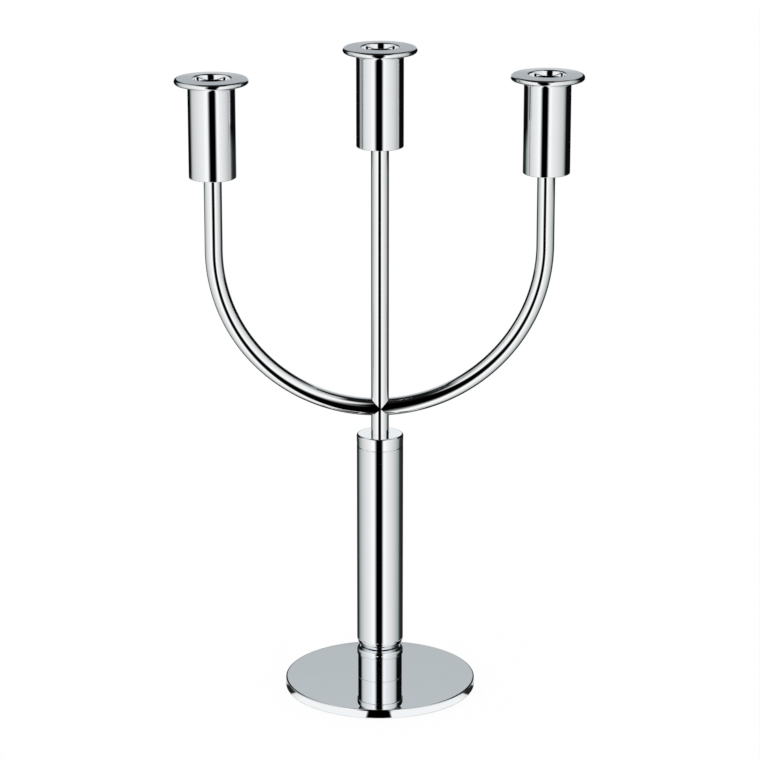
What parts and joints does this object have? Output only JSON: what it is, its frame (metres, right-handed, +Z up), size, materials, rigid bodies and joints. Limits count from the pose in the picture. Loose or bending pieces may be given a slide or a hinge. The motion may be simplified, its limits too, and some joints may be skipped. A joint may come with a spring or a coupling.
{
  "type": "three-arm candelabra",
  "caption": "Candelabra: flat round base, thick column, slim stem, arms bent up to both sides in one half circle, and flanged cylindrical candle cups, the middle one higher. Mirror polished steel.",
  "frame": {"origin": "centre of the surface that it stands on, at table height", "axes": "+Z up along the column, +X towards the right arm, -Y towards the viewer of the picture"},
  "size_m": [0.2494, 0.12, 0.4119],
  "materials": {
    "base_steel": "mirror polished stainless steel",
    "collar_steel": "mirror polished stainless steel",
    "ring_steel": "mirror polished stainless steel",
    "sleeve_steel": "mirror polished stainless steel",
    "cap_steel": "mirror polished stainless steel",
    "tube_steel": "mirror polished stainless steel tube",
    "cup_steel": "mirror polished stainless steel, turned",
    "plug_steel": "fine turned",
    "insert_steel": "turned",
    "screw_steel": "zinc plated",
    "pad_felt": "pressed felt"
  },
  "bodies": {
    "root": {"base_disc": "base_steel", "base_pad": "pad_felt", "base_screw": "screw_steel", "foot_collar": "collar_steel", "foot_ring": "ring_steel", "column_sleeve": "sleeve_steel", "column_cap": "cap_steel", "tie_rod": "screw_steel", "stem_stud": "screw_steel", "stem_foot_insert": "insert_steel", "centre_stem": "tube_steel", "left_arm": "tube_steel", "right_arm": "tube_steel", "left_cup": "cup_steel", "left_cup_plug": "plug_steel", "left_tube_insert": "insert_steel", "left_cup_washer": "screw_steel", "left_cup_screw": "screw_steel", "centre_cup": "cup_steel", "centre_cup_plug": "plug_steel", "centre_tube_insert": "insert_steel", "centre_cup_washer": "screw_steel", "centre_cup_screw": "screw_steel", "right_cup": "cup_steel", "right_cup_plug": "plug_steel", "right_tube_insert": "insert_steel", "right_cup_washer": "screw_steel", "right_cup_screw": "screw_steel"}
  },
  "joints": []
}
